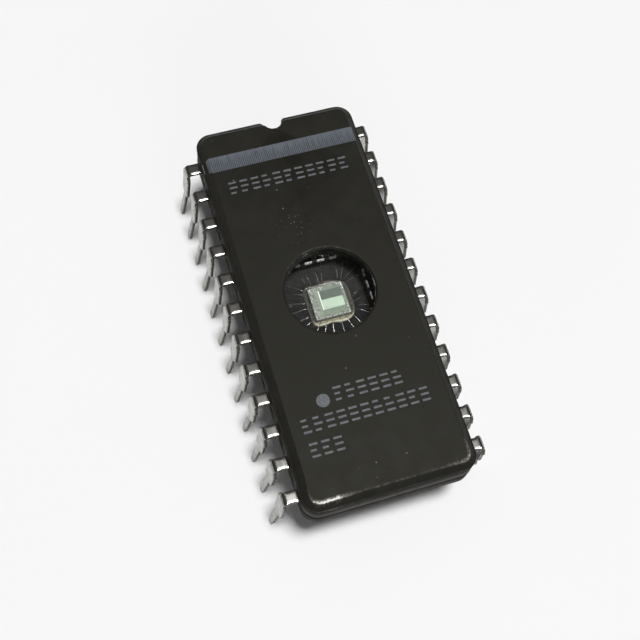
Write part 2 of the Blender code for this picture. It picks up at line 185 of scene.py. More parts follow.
base_low, base_high = box_mm("ceramic_base")
glass_low, glass_high = box_mm("seal_glass")
cap_low, cap_high = box_mm("ceramic_cap")
window_low, window_high = box_mm("window")
die_low, die_high = box_mm("die")
HALF_WIDTH = base_high.x
HALF_LENGTH = base_high.y
SHOULDER_TOP = box_mm("lead_01")[1].z
LEAD_BOTTOM = SHOULDER_TOP - LEAD_THICKNESS
LEAD_MIDDLE = SHOULDER_TOP - LEAD_THICKNESS / 2
PAD_TOP = die_high.z + 1.4 * FIELD_THICKNESS
CAP_SETBACK = HALF_WIDTH - cap_high.x


# Mesh helpers

def show(thing):
    bpy.context.scene.collection.objects.link(thing)


def finish_mesh(name, bm, materials, smooth):
    """Turns a bmesh in millimetres into a mesh in metres, sharp where it turns more than smooth."""
    bmesh.ops.recalc_face_normals(bm, faces=bm.faces)
    bmesh.ops.scale(bm, vec=(MM, MM, MM), verts=bm.verts)
    mesh = bpy.data.meshes.new(name)
    bm.to_mesh(mesh)
    bm.free()
    for material in materials:
        mesh.materials.append(material)
    mesh.shade_smooth()
    mesh.set_sharp_from_angle(angle=math.radians(smooth))
    return mesh


def place_piece(name, mesh, nodes, turn=None):
    piece = bpy.data.objects.new(name, mesh)
    show(piece)
    if turn is not None:
        piece.matrix_world = turn
    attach(piece, "root")
    if nodes:
        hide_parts(*nodes)


def finish_piece(name, bm, materials, nodes, smooth=35.0):
    place_piece(name, finish_mesh(name, bm, materials, smooth), nodes)


def add_ring(bm, points):
    return [bm.verts.new(point) for point in points]


def bridge(bm, low, high, material=0):
    """Skins the band between two closed rings that have the same number of points.

    The material is one number for the whole band, or a list with one for each segment.
    """
    count = len(low)
    for i in range(count):
        j = (i + 1) % count
        face = bm.faces.new((low[i], low[j], high[j], high[i]))
        face.material_index = material if isinstance(material, int) else material[i]


def skin(bm, rings, material=0):
    for low, high in zip(rings, rings[1:]):
        bridge(bm, low, high, material)


def cap_ring(bm, ring, material=0):
    bm.faces.new(ring).material_index = material


def solid(bm, rings, material=0):
    """Skins a row of rings and closes both its ends."""
    skin(bm, rings, material)
    cap_ring(bm, rings[0], material)
    cap_ring(bm, rings[-1], material)


def ring_edges(bm, ring):
    return [bm.edges.get(pair) for pair in zip(ring, ring[1:] + ring[:1])]


def fill_between(bm, outer, inner):
    """Fills the flat field between two skinned rings that lie in one plane, one inside the other."""
    edges = ring_edges(bm, outer) + ring_edges(bm, inner)
    bmesh.ops.triangle_fill(bm, edges=edges, use_beauty=True)


def line(start, end, steps):
    """Points from start towards end, without the end itself."""
    start, end = Vector(start), Vector(end)
    return [start.lerp(end, i / steps) for i in range(steps)]


def arc(centre, radius, first, last, steps):
    """Points on an arc from one angle towards another, in degrees, without the last."""
    points = []
    for i in range(steps):
        angle = math.radians(first + (last - first) * i / steps)
        points.append(Vector((centre[0] + radius * math.cos(angle), centre[1] + radius * math.sin(angle))))
    return points


def circle(radius, steps, centre=(0.0, 0.0), z=0.0):
    return [Vector((p.x, p.y, z)) for p in arc(centre, radius, 0, 360, steps)]


def round_outline(half_x, half_y, radius, near_steps, side_steps, corner_steps, far):
    """A rectangle with round corners in plan, whose far edge has the given points."""
    x, y = half_x - radius, half_y - radius
    points = line((-x, -half_y), (x, -half_y), near_steps)
    points += arc((x, -y), radius, -90, 0, corner_steps)
    points += line((half_x, -y), (half_x, y), side_steps)
    points += arc((x, y), radius, 0, 90, corner_steps)
    points += far
    points += arc((-x, y), radius, 90, 180, corner_steps)
    points += line((-half_x, y), (-half_x, -y), side_steps)
    points += arc((-x, -y), radius, 180, 270, corner_steps)
    return points


def well_ring(bm, half_x, half_y, radius, z, steps):
    """One ring of a rectangular well, with steps to a side and steps to a corner."""
    sides, corners = steps
    far = line((half_x - radius, half_y), (radius - half_x, half_y), sides)
    points = round_outline(half_x, half_y, radius, sides, sides, corners, far)
    return add_ring(bm, [(p.x, p.y, z) for p in points])


def swell(value, middle, width):
    """A smooth bump that is 1 at the middle and fades out over the width."""
    return math.exp(-((value - middle) / width) ** 2)


def ramp(value, low, high):
    share = min(max((value - low) / (high - low), 0.0), 1.0)
    return share * share * (3 - 2 * share)


def between(first, last, share):
    return first + (last - first) * share


def shares(steps):
    """Even shares of a way, from its first step to its end."""
    return [i / steps for i in range(1, steps + 1)]


def rough(x, y, z=0.0, seed=0.0):
    """Smooth noise between about -1 and 1, one feature to a unit."""
    return noise.noise(Vector((x + seed * 17.3, y - seed * 9.1, z + seed * 5.7)))


# Body outline

NEAR_STEPS = 150
SIDE_STEPS = 190
FAR_STEPS = 40
BODY_CORNER_STEPS = 14
NOTCH_SIDE_STEPS = 22
INWARD_WEAR = 0.6


def notch_side(far_y, radius, lip):
    """Points of the notch's +X half, from its round lip on the far edge down to its bottom.

    They are evenly spaced along the curve, whatever the inset of the far edge.
    """
    centre_y = HALF_LENGTH - NOTCH_DEPTH + NOTCH_RADIUS
    below = centre_y - (far_y - lip)
    wall = max(-below, 0.0)
    reach = math.sqrt((radius + lip) ** 2 - max(below, 0.0) ** 2)
    lean = math.asin(max(below, 0.0) / (radius + lip))
    lip_centre = Vector((reach, far_y - lip))
    lip_length = lip * (math.pi / 2 - lean)
    bowl_length = radius * (math.pi / 2 - lean)
    length = lip_length + wall + bowl_length
    points = []
    for i in range(NOTCH_SIDE_STEPS):
        way = length * i / NOTCH_SIDE_STEPS
        if way < lip_length:
            angle = math.pi / 2 + way / lip
            points.append(lip_centre + Vector((lip * math.cos(angle), lip * math.sin(angle))))
        elif way < lip_length + wall:
            points.append(Vector((radius, far_y - lip - (way - lip_length))))
        else:
            angle = -lean - (way - lip_length - wall) / radius
            points.append(Vector((radius * math.cos(angle), centre_y + radius * math.sin(angle))))
    return points, Vector((0.0, centre_y - radius))


def body_outline(inset, widen=0.0):
    """The body's outline moved in by inset, with the index notch in its +Y end.

    The notch keeps its place while the sides move in; widen makes the notch itself larger.
    """
    hx, hy = HALF_WIDTH - inset, HALF_LENGTH - inset
    radius = CORNER_RADIUS - inset
    side, bottom = notch_side(hy, NOTCH_RADIUS + widen, NOTCH_LIP - widen)
    join_x = side[0].x
    far = line((hx - radius, hy), (join_x, hy), FAR_STEPS) + side + [bottom]
    far += [Vector((-p.x, p.y)) for p in reversed(side[1:])]
    far += line((-join_x, hy), (radius - hx, hy), FAR_STEPS)
    return round_outline(hx, hy, radius, NEAR_STEPS, SIDE_STEPS, BODY_CORNER_STEPS, far)


def outline_ways(inset, widen=0.0):
    """The points of the outline, each with the way straight out of the body there."""
    inner = body_outline(inset + 0.01, widen)
    pairs = zip(body_outline(inset, widen), inner)
    return [(point, (point - within).normalized()) for point, within in pairs]


def body_ring(bm, inset, z, widen=0.0, wear_and_sheen_share=0.0, wear_and_sheen_layer=None):
    """One ring of the body, with the share of the edge wear and of its painted highlight that reaches it."""
    ring = []
    for point, outward in outline_ways(inset, widen):
        loss = wear_and_sheen_share * edge_loss(point)
        point = point - outward * loss * INWARD_WEAR
        vert = bm.verts.new((point.x, point.y, z - loss))
        if wear_and_sheen_layer is not None:
            # The layer takes both the edge wear and the ridge's painted highlight.
            vert[wear_and_sheen_layer] = wear_and_sheen_share * edge_wear_and_painted_highlight(point)
        ring.append(vert)
    return ring


def near_edge_bias(point):
    """How much the ridge wears here, and how strong its painted highlight is: most at the near edge, and
    more at its two corners.
    """
    near = ramp(-point.y, 12.5, 15.2)
    edge = ramp(-point.y, 14.5, 15.2)
    left = swell(point.x, -4.6, 1.2) * edge
    right = swell(point.x, 5.3, 1.2) * near
    return 0.03 + near * (0.16 + 1.9 * left + 0.55 * right)


def edge_loss(point):
    """Depth of the small chips along the cap's ridge."""
    chips = max(rough(point.x * 2.6, point.y * 2.6, seed=1) - 0.12, 0.0)
    crumbs = max(rough(point.x * 9.0, point.y * 9.0, seed=2), 0.0)
    return near_edge_bias(point) * (0.10 * chips + 0.03 * crumbs)


def edge_wear_and_painted_highlight(point):
    """How pale the ridge looks here, partly from wear and partly as painted highlight."""
    patches = rough(point.x * 1.7, point.y * 1.7, seed=3) * 0.4 + 0.7
    crumbs = rough(point.x * 7.0, point.y * 7.0, seed=4) * 0.7 + 0.7
    return max(near_edge_bias(point) * patches * crumbs * 1.5, 0.0)


# Ceramic pieces

DUST_CENTRE = (-0.9, 5.9)
DUST_REACH = 2.1
CRUMB_CENTRE = (0.5, -13.8)
CRUMB_REACH = 7.0
CAP_SIDE_BANDS = 3
RIDGE_ROUND = 0.09
RIDGE_STEPS = 4
EDGE_ROUND = 0.04
HOLE_STEPS = 144
HOLE_CHAMFER = 0.05
LATE_BEVEL = 0.75


def cap_levels():
    """The cap from its foot to its top, as inset, height, how much wider the notch is, and the share of edge
    wear and painted highlight.
    """
    land_z = cap_high.z - CAP_BEVEL_DROP
    land_inset = CAP_SETBACK + CAP_LAND
    slope = math.atan2(CAP_BEVEL_DROP, CAP_BEVEL_RUN)
    levels = [
        (CAP_SETBACK + EDGE_ROUND, cap_low.z, 0.0, 0.0),
        (CAP_SETBACK, cap_low.z + EDGE_ROUND, 0.0, 0.0),
        (CAP_SETBACK, land_z - EDGE_ROUND, 0.0, 0.05),
        (CAP_SETBACK + EDGE_ROUND * 0.3, land_z - EDGE_ROUND * 0.3, 0.0, 0.25),
        (CAP_SETBACK + EDGE_ROUND, land_z, 0.0, 0.15),
        (land_inset - 0.02, land_z + 0.005, 0.0, 0.0),
        (land_inset + 0.01, land_z + 0.03, 0.0, 0.0),
        (land_inset + CAP_BEVEL_RUN * LATE_BEVEL, land_z + CAP_BEVEL_DROP * LATE_BEVEL, 0.0, 0.1),
    ]
    top_inset = land_inset + CAP_BEVEL_RUN + RIDGE_ROUND * math.tan(slope / 2)
    for done in (0.0, *shares(RIDGE_STEPS)):
        lean = slope * (1 - done)
        z = cap_high.z - RIDGE_ROUND * (1 - math.cos(lean))
        levels.append((top_inset - RIDGE_ROUND * math.sin(lean), z, 0.02 * done, 1.0 if done < 1 else 0.5))
    levels.append((top_inset + 0.06, cap_high.z, 0.03, 0.45))
    levels.append((top_inset + 0.20, cap_high.z, 0.03, 0.0))
    return levels


def hole_ring(bm, wear_and_sheen, radius, z):
    """One ring of the window's hole, chipped on the chamfer and paler in patches on the far rim."""
    on_rim = z > cap_high.z - HOLE_CHAMFER and radius < WINDOW_RADIUS + 0.2
    chip = 0.02 if on_rim and z < cap_high.z else 0.0
    ring = []
    for point in circle(radius, HOLE_STEPS, (WINDOW_X, 0.0)):
        loss = chip * max(rough(point.x * 4, point.y * 4, seed=5), 0.0)
        vert = bm.verts.new((point.x, point.y, z - loss))
        pale = max(rough(point.x * 3.0, point.y * 3.0, seed=6) * 0.9 + 0.2, 0.0)
        vert[wear_and_sheen] = ramp(point.y, 1.0, 3.2) * pale * 0.30 if on_rim else 0.0
        ring.append(vert)
    return ring


def make_cap(materials):
    """The cap, with the moulded top face in the first material and its sides in the second, a darker copy of
    the ceramic that paints shade on them.
    """
    bm = bmesh.new()
    # This layer holds the edge wear and the ridge's painted highlight.
    wear_and_sheen = bm.verts.layers.float.new("wear_and_sheen")
    rings = [body_ring(bm, *level, wear_and_sheen) for level in cap_levels()]
    skin(bm, rings[:CAP_SIDE_BANDS + 1], 1)
    skin(bm, rings[CAP_SIDE_BANDS:])
    top = cap_high.z
    profile = [
        (EDGE_ROUND, cap_low.z), (0.0, cap_low.z + EDGE_ROUND), (0.0, top - HOLE_CHAMFER),
        (0.01, top - HOLE_CHAMFER * 0.55), (0.03, top - HOLE_CHAMFER * 0.18), (0.07, top),
        (0.22, top), (0.36, top),
    ]
    hole = [hole_ring(bm, wear_and_sheen, WINDOW_RADIUS + grow, z) for grow, z in profile]
    skin(bm, hole)
    fill_between(bm, rings[-1], hole[-1])
    fill_between(bm, rings[0], hole[0])
    finish_piece("cap_ceramic", bm, materials, ["ceramic_cap"])


def make_base(materials):
    """The base, with its body in the first material and the floor of its cavity in the second."""
    bm = bmesh.new()
    low, high = base_low.z, base_high.z
    levels = [
        (BASE_BEVEL + 0.25, low), (BASE_BEVEL + 0.05, low), (BASE_BEVEL - 0.02, low + 0.02),
        (0.03, low + BASE_BEVEL - 0.03), (0.0, low + BASE_BEVEL + 0.04), (0.0, high - 0.05),
        (0.015, high - 0.015), (0.05, high),
    ]
    rings = [body_ring(bm, *level) for level in levels]
    skin(bm, rings)
    cap_ring(bm, rings[0])
    half_x, half_y = CAVITY_WIDTH / 2, CAVITY_LENGTH / 2
    levels = [
        (0.05, high), (0.015, high - 0.015), (0.0, high - 0.06), (-0.01, CAVITY_FLOOR + 0.10),
        (-0.04, CAVITY_FLOOR + 0.03), (-0.11, CAVITY_FLOOR),
    ]
    well = [
        well_ring(bm, half_x + grow, half_y + grow, CAVITY_CORNER + grow, z, WELL_STEPS)
        for grow, z in levels]
    skin(bm, well)
    cap_ring(bm, well[-1], 1)
    fill_between(bm, rings[-1], well[0])
    finish_piece("base_ceramic", bm, materials, ["ceramic_base"])


def lead_y(row):
    return ((LEADS_PER_ROW - 1) / 2 - row) * LEAD_PITCH


def glass_skin_ring(bm, inset, z, bulge):
    """The outside of the glass at one height, with a meniscus where each lead comes out."""
    notch_floor = HALF_LENGTH - NOTCH_DEPTH - 0.1
    notch_reach = NOTCH_RADIUS + NOTCH_LIP + 0.1
    ring = []
    for point, outward in outline_ways(inset):
        lift = 0.0
        if point.y <= notch_floor or abs(point.x) >= notch_reach:
            lift += bulge * (0.5 + 0.5 * rough(point.x * 0.8, point.y * 0.8, z, seed=7))
            lift += 0.012 * rough(point.x * 4.0, point.y * 4.0, z * 4, seed=8)
        if abs(point.x) > HALF_WIDTH - 0.2:
            nearness = sum(swell(point.y, lead_y(row), 0.62) for row in range(LEADS_PER_ROW))
            lift += 0.13 * nearness * swell(z, LEAD_MIDDLE, 0.24)
        point = point + outward * lift
        ring.append(bm.verts.new((point.x, point.y, z)))
    return ring


def make_glass(materials):
    """The glass frame, with its outer skin in the first material and the shelf in the second, a darker copy
    of the glass that paints shade in the cavity.
    """
    bm = bmesh.new()
    low, high = glass_low.z, glass_high.z
    levels = [
        (0.14, low, 0.0), (0.07, low + 0.02, 0.0), (0.055, low + 0.06, 0.02),
        (0.05, LEAD_BOTTOM + 0.02, 0.03), (0.05, LEAD_BOTTOM + 0.14, 0.03),
        (0.05, SHOULDER_TOP - 0.02, 0.03), (0.05, SHOULDER_TOP + 0.12, 0.03),
        (0.055, high - 0.28, 0.03), (0.06, high - 0.10, 0.02), (0.08, high - 0.03, 0.0),
        (0.15, high, 0.0),
    ]
    rings = [glass_skin_ring(bm, *level) for level in levels]
    skin(bm, rings)
    edge = FINGER_REACH + 0.06
    shelf = FINGER_REACH + SHELF_WIDTH
    steps = [
        (edge, CAVITY_CORNER, low), (edge, CAVITY_CORNER, LEAD_MIDDLE - 0.06),
        (edge + 0.05, CAVITY_CORNER, LEAD_MIDDLE), (shelf - 0.12, SHELF_CORNER, LEAD_MIDDLE),
        (shelf - 0.03, SHELF_CORNER, LEAD_MIDDLE + 0.08), (shelf, SHELF_CORNER, high),
    ]
    well = [well_ring(bm, side, side, radius, z, SHELF_STEPS) for side, radius, z in steps]
    skin(bm, well, 1)
    fill_between(bm, rings[-1], well[-1])
    fill_between(bm, rings[0], well[0])
    finish_piece("glass_frit", bm, materials, ["seal_glass"])


# Window

def turned(bm, profile):
    """Skinned rings round the middle of the window, each with its radius and height."""
    rings = [add_ring(bm, circle(radius, HOLE_STEPS, (WINDOW_X, 0.0), z)) for radius, z in profile]
    skin(bm, rings)
    return rings


def make_window(glass, seal):
    low, high = window_low.z, window_high.z
    wide = WINDOW_RADIUS - 0.01
    bm = bmesh.new()
    rings = turned(bm, [
        (wide - 0.12, low), (wide - 0.03, low + 0.03), (wide, low + 0.12), (wide, high - 0.03),
        (wide - 0.01, high - 0.01), (wide - 0.03, high), (wide - 0.09, high), (wide - 0.30, high),
    ])
    cap_ring(bm, rings[0])
    cap_ring(bm, rings[-1])
    finish_piece("window_glass", bm, [glass], ["window"], 50.0)

    wide = WINDOW_RADIUS
    bm = bmesh.new()
    rings = turned(bm, [
        (wide - 0.005, high - 0.16), (wide - 0.005, high + 0.035), (wide - 0.02, high + 0.012),
        (wide - 0.04, high + 0.003), (wide - 0.055, high + 0.002), (wide - 0.045, high - 0.03),
        (wide - 0.02, high - 0.12),
    ])
    bridge(bm, rings[-1], rings[0])
    finish_piece("window_meniscus", bm, [seal], (), 50.0)


# Die and what is in the cavity

def add_block(bm, low_x, low_y, high_x, high_y, low_z, high_z, material=0):
    corners = [(low_x, low_y), (high_x, low_y), (high_x, high_y), (low_x, high_y)]
    solid(bm, [add_ring(bm, [(x, y, z) for x, y in corners]) for z in (low_z, high_z)], material)


def add_traces(bm, top, material):
    """Short traces scattered over the border, most of them upright beside the core field."""
    random = Random(7)
    low_x, low_y, high_x, high_y = CORE_FIELD
    for _ in range(TRACE_COUNT):
        x = random.uniform(die_low.x + 0.05, die_high.x - 0.05)
        y = random.uniform(die_low.y + 0.05, die_high.y - 0.05)
        if low_x - 0.04 < x < high_x + 0.04 and low_y - 0.04 < y < high_y + 0.04:
            continue
        long_half, short_half = random.uniform(0.05, 0.20) / 2, random.uniform(0.012, 0.035) / 2
        upright = random.random() < (0.7 if x < low_x or x > high_x else 0.35)
        half_x, half_y = (short_half, long_half) if upright else (long_half, short_half)
        add_block(bm, max(x - half_x, die_low.x), max(y - half_y, die_low.y),
                  min(x + half_x, die_high.x), min(y + half_y, die_high.y),
                  top, top + FIELD_THICKNESS * random.uniform(0.5, 1.0), material)


def make_die(materials):
    """The silicon block with the fields, traces and pads on its face."""
    silicon, core, sense, pale, dark, trace, pad, border = range(8)
    top, step, pad_half = die_high.z, FIELD_THICKNESS, PAD_SIZE / 2
    bm = bmesh.new()
    add_block(bm, die_low.x, die_low.y, die_high.x, die_high.y, die_low.z, top, silicon)
    finish_piece("die_block", bm, materials, ["die"], 30.0)

    bm = bmesh.new()
    add_block(bm, die_low.x + 0.01, die_low.y + 0.01, die_high.x - 0.01, die_high.y - 0.01,
              top, top + 0.4 * step, border)
    add_block(bm, *CORE_FIELD, top, top + step, core)
    for field, material in ((SENSE_FIELD, sense), (PALE_FIELD, pale), (DARK_FIELD, dark)):
        add_block(bm, *field, top + step, top + 2 * step, material)
    add_traces(bm, top, trace)
    for column in range(COLUMN_COUNT):
        x = CORE_FIELD[0] + 0.04 + column * COLUMN_PITCH
        add_block(bm, x, CORE_FIELD[1] + 0.1, x + COLUMN_WIDTH, CORE_FIELD[3] - 0.1,
                  top + step, top + 1.6 * step, trace)
    for start, _ in wire_ends():
        add_block(bm, start.x - pad_half, start.y - pad_half, start.x + pad_half, start.y + pad_half,
                  top, PAD_TOP, pad)
    finish_piece("die_face", bm, materials, (), 30.0)


def bed_outline(margin, z):
    """A ring of the bed, where a margin of 1 is its full reach and 0 is the die's side."""
    die_half = ((die_high.x - die_low.x) / 2, (die_high.y - die_low.y) / 2)
    die_centre = ((die_high.x + die_low.x) / 2, (die_high.y + die_low.y) / 2)
    points = []
    for i in range(BED_STEPS):
        angle = 2 * math.pi * i / BED_STEPS
        c, s = math.cos(angle), math.sin(angle)
        wide = abs(c / BED_HALF[0]) ** BED_POWER + abs(s / BED_HALF[1]) ** BED_POWER
        wide = wide ** (-1 / BED_POWER)
        wide += sum(size * math.sin(waves * angle + phase) for size, waves, phase in BED_WAVES)
        wide += 0.012 * rough(c * 5, s * 5, seed=21)
        close = min(die_half[0] / max(abs(c), 1e-6), die_half[1] / max(abs(s), 1e-6))
        outer = Vector((BED_CENTRE[0] + wide * c, BED_CENTRE[1] + wide * s))
        inner = Vector((die_centre[0] + close * c, die_centre[1] + close * s))
        point = inner.lerp(outer, margin)
        points.append(Vector((point.x, point.y, z)))
    return points


def make_bed(material):
    """The bed, as rings from the foot of its rim in to the die's sides."""
    floor = CAVITY_FLOOR + 0.004
    bm = bmesh.new()
    profile = [
        (1.0, 0.0), (1.0, 0.3), (0.96, 0.6), (0.88, 0.85), (0.76, 1.0), (0.60, 0.95),
        (0.42, 0.75), (0.25, 0.55), (0.02, 0.45),
    ]
    rim = bm.verts.layers.float.new("rim")
    rings = []
    for margin, height in profile:
        ring = add_ring(bm, bed_outline(margin, floor + height * BED_HEIGHT))
        for vert in ring:
            vert[rim] = ramp(margin, 0.80, 0.93)
        rings.append(ring)
    solid(bm, rings)
    finish_piece("die_bed", bm, [material], ["die_attach"], 60.0)


def wire_ends():
    """Each wire's bond on its pad and on its finger, a foot's length in from the solid wire's ends."""
    centre = Vector(((die_low.x + die_high.x) / 2, (die_low.y + die_high.y) / 2))
    ends = []
    for number in range(1, 2 * LEADS_PER_ROW + 1):
        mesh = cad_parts["bond_wire_%02d" % number].data
        points = [vert.co / MM for vert in mesh.vertices]
        near = min(points, key=lambda p: (p.xy - centre).length)
        far = max(points, key=lambda p: (p.xy - centre).length)
        along = (far.xy - near.xy).normalized()
        ways = [(p.xy - near.xy).dot(along) for p in points]
        pair = []
        for way, sign in ((min(ways), 1), (max(ways), -1)):
            end = [p for p, w in zip(points, ways) if abs(w - way) < 0.004]
            middle = sum(end, Vector((0.0, 0.0, 0.0))) / len(end)
            pair.append(middle + along.to_3d() * (WIRE_FOOT * sign))
        ends.append(tuple(pair))
    return ends


def wedge_foot(bond, way, level):
    """Stations of a flattened foot that lies from the bond towards way, from its free end back."""
    stations = []
    for share, width, height in WEDGE:
        place = bond + way * (WEDGE_LENGTH * (1 - share))
        stations.append((Vector((place.x, place.y, level + height)), width, height))
    return stations


def wire_stations(pad, finger, along):
    """Middle point, half-width and half-height of a wire, from the foot on the pad to the other.

    The loop climbs steeply near the die and falls slowly to the finger, with a soft turn between.
    """
    start, end = PAD_TOP + WIRE_RADIUS, SHOULDER_TOP + WIRE_RADIUS
    length = (finger - pad).to_2d().length
    stations = wedge_foot(pad, -along, PAD_TOP)
    for share in shares(LOOP_STEPS)[:-1]:
        place = pad.lerp(finger, share)
        run = share * length
        climb = start + (end + LOOP_RISE - start) * run / LOOP_REACH
        fall = end + LOOP_RISE * (length - run) / (length - LOOP_REACH)
        both = math.exp(-climb / LOOP_SOFTNESS) + math.exp(-fall / LOOP_SOFTNESS)
        level = -LOOP_SOFTNESS * math.log(both)
        stations.append((Vector((place.x, place.y, level)), WIRE_RADIUS, WIRE_RADIUS))
    return stations + wedge_foot(finger, along, SHOULDER_TOP)[::-1]


def make_wires(material):
    """Round wires with a flattened wedge foot at each end."""
    section = circle(1.0, WIRE_SIDES)
    for number, (pad, finger) in enumerate(wire_ends(), start=1):
        along = Vector((finger.x - pad.x, finger.y - pad.y, 0.0)).normalized()
        side = Vector((-along.y, along.x, 0.0))
        stations = wire_stations(pad, finger, along)
        places = [place for place, _, _ in stations]
        bm = bmesh.new()
        rings = []
        ways = zip(places[:1] + places[:-1], places[1:] + places[-1:])
        for (place, width, height), (before, after) in zip(stations, ways):
            up = (after - before).cross(side).normalized()
            if up.z < 0:
                up = -up
            rings.append(add_ring(bm, [
                place + side * (width * p.x) + up * (height * p.y) for p in section]))
        solid(bm, rings)
        name = "%02d" % number
        finish_piece("wire_form_" + name, bm, [material], ["bond_wire_" + name], 60.0)


# Print

def make_print(ink, plain):
    """The hatched band, its traces on the bevel and the land, and rows of plain bars."""
    top, lift = cap_high.z, INK_THICKNESS
    land = top - CAP_BEVEL_DROP
    ridge = cap_high.x - CAP_LAND - CAP_BEVEL_RUN
    bm = bmesh.new()
    add_block(bm, -ridge - 0.01, BAND_LOW, ridge + 0.02, BAND_HIGH, top, top + lift)
    add_block(bm, 0.025 - cap_high.x, BAND_LOW + 0.35, CAP_LAND - 0.015 - cap_high.x,
              BAND_HIGH - 0.15, land, land + lift)
    for sign, reach, near_gap, far_gap in BEVEL_TRACES:
        drop = reach * CAP_BEVEL_DROP / CAP_BEVEL_RUN
        inner, outer = sign * ridge, sign * (ridge + reach)
        section = [
            (inner, top - INK_ROOT), (outer, top - drop - INK_ROOT),
            (outer, top - drop + lift), (inner, top + lift * 0.5)]
        ends = (BAND_LOW + near_gap, BAND_HIGH - far_gap)
        solid(bm, [add_ring(bm, [(x, y, z) for x, z in section]) for y in ends])
    finish_piece("print_band", bm, [ink], (), 30.0)

    bm = bmesh.new()
    random = Random(3)
    step = (MARK_HEIGHT - MARK_STROKE) / (MARK_BARS - 1)
    for left, middle, count in MARK_ROWS:
        for i in range(count):
            x = left + i * (MARK_WIDTH + MARK_GAP)
            for bar in range(MARK_BARS):
                y = middle - MARK_HEIGHT / 2 + bar * step
                length = MARK_WIDTH * random.choice((0.7, 1.0, 1.0))
                add_block(bm, x, y, x + length, y + MARK_STROKE, top, top + lift)
    disc = [
        add_ring(bm, circle(MARK_DISC_RADIUS, DISC_STEPS, MARK_DISC, z)) for z in (top, top + lift)]
    skin(bm, disc)
    cap_ring(bm, disc[1])
    finish_piece("print_bars", bm, [plain], (), 30.0)


# Leads

EDGE_STEPS = 4
FACE_STEPS = 20
SHOULDER_STEPS = 9
BEND_STEPS = 12
FLARE_START = 0.02
FLARE_STEPS = 3
STUB_ROUND = 0.03
LEG_STEPS = 9
TAPER_STEPS = 5
PIN_STEPS = 12
TIP_STEPS = 7
CROWN_POWER = 6
SHOULDER_DOME = 0.044
SHOULDER_DOME_MIDDLE = 0.70
SHOULDER_DOME_REACH = 0.52

# Materials round the section: tin on the faces, and the dark sheared metal on both sides
TIN, PLATING, SHEARED_END, SHEARED_SIDE = range(4)
HALF_ROUND = [TIN] * (FACE_STEPS + EDGE_STEPS - 1) + [SHEARED_SIDE] * 2 + [TIN] * (EDGE_STEPS - 1)
STRIP_SEGMENTS = HALF_ROUND + HALF_ROUND


def strip_section(half_width, edge, crown):
    """Section of a stamped strip, across and out: coined edges and a slightly domed top."""
    half = LEAD_THICKNESS / 2
    under = min(edge, 0.05)
    x, y = half_width - under, half - under
    top_x, top_y = half_width - edge, half - edge - crown
    section = line((-x, -half), (x, -half), FACE_STEPS)
    section += arc((x, -y), under, -90, 0, EDGE_STEPS)
    section += arc((top_x, top_y), edge, 0, 90, EDGE_STEPS)
    for i in range(FACE_STEPS):
        share = 1 - 2 * i / FACE_STEPS
        section.append(Vector((top_x * share, half - crown * share ** CROWN_POWER)))
    section += arc((-top_x, top_y), edge, 90, 180, EDGE_STEPS)
    section += arc((-x, -y), under, 180, 270, EDGE_STEPS)
    return section


def finger_route(row):
    """Middle line of a finger in plan, from its tip at the cavity out to the body's side."""
    half = LEADS_PER_ROW // 2
    quarter = half // 2
    y = lead_y(row)
    outer = HALF_WIDTH - NECK_DEPTH - NECK_TAPER
    if quarter <= row < quarter + half:
        place = ((LEADS_PER_ROW - 1) / 2 - row) * FINGER_PITCH
        return [(-FINGER_REACH, place), (-FINGER_REACH - FINGER_TIP_LENGTH, place), (-outer, y)]
    if row < quarter:
        sign, place = 1, -(row + 0.5) * FINGER_PITCH
    else:
        sign, place = -1, -(LEADS_PER_ROW - 0.5 - row) * FINGER_PITCH
    run = outer - abs(place) - FINGER_PITCH / 2
    return [
        (place, sign * FINGER_REACH), (place, y - sign * run),
        (-outer + FINGER_PITCH / 2, y), (-outer, y),
    ]


def finger_stations(row):
    """Stations of the finger: middle point, way across in plan, and half-width."""
    points = [Vector(point) for point in finger_route(row)]
    first = (points[1] - points[0]).normalized()
    tip_end = points[0] + first * (FINGER_TIP_LENGTH - FINGER_TIP_TAPER)
    route = [points[0], points[0] + first * 0.10, tip_end]
    widths = [FINGER_TIP_WIDTH - 0.06, FINGER_TIP_WIDTH, FINGER_TIP_WIDTH]
    route += points[1:] + [Vector((points[-1].x - NECK_TAPER, points[-1].y))]
    widths += [FINGER_WIDTH] * (len(points) - 1) + [SHOULDER_WIDTH]
    stations = []
    for i, point in enumerate(route):
        before = route[i] - route[i - 1] if i > 0 else route[1] - route[0]
        after = route[i + 1] - route[i] if i + 1 < len(route) else Vector((-1.0, 0.0))
        middle = (before.normalized() + after.normalized()).normalized()
        across = Vector((-middle.y, middle.x)) / middle.dot(after.normalized())
        stations.append((point, across, widths[i] / 2))
    return stations


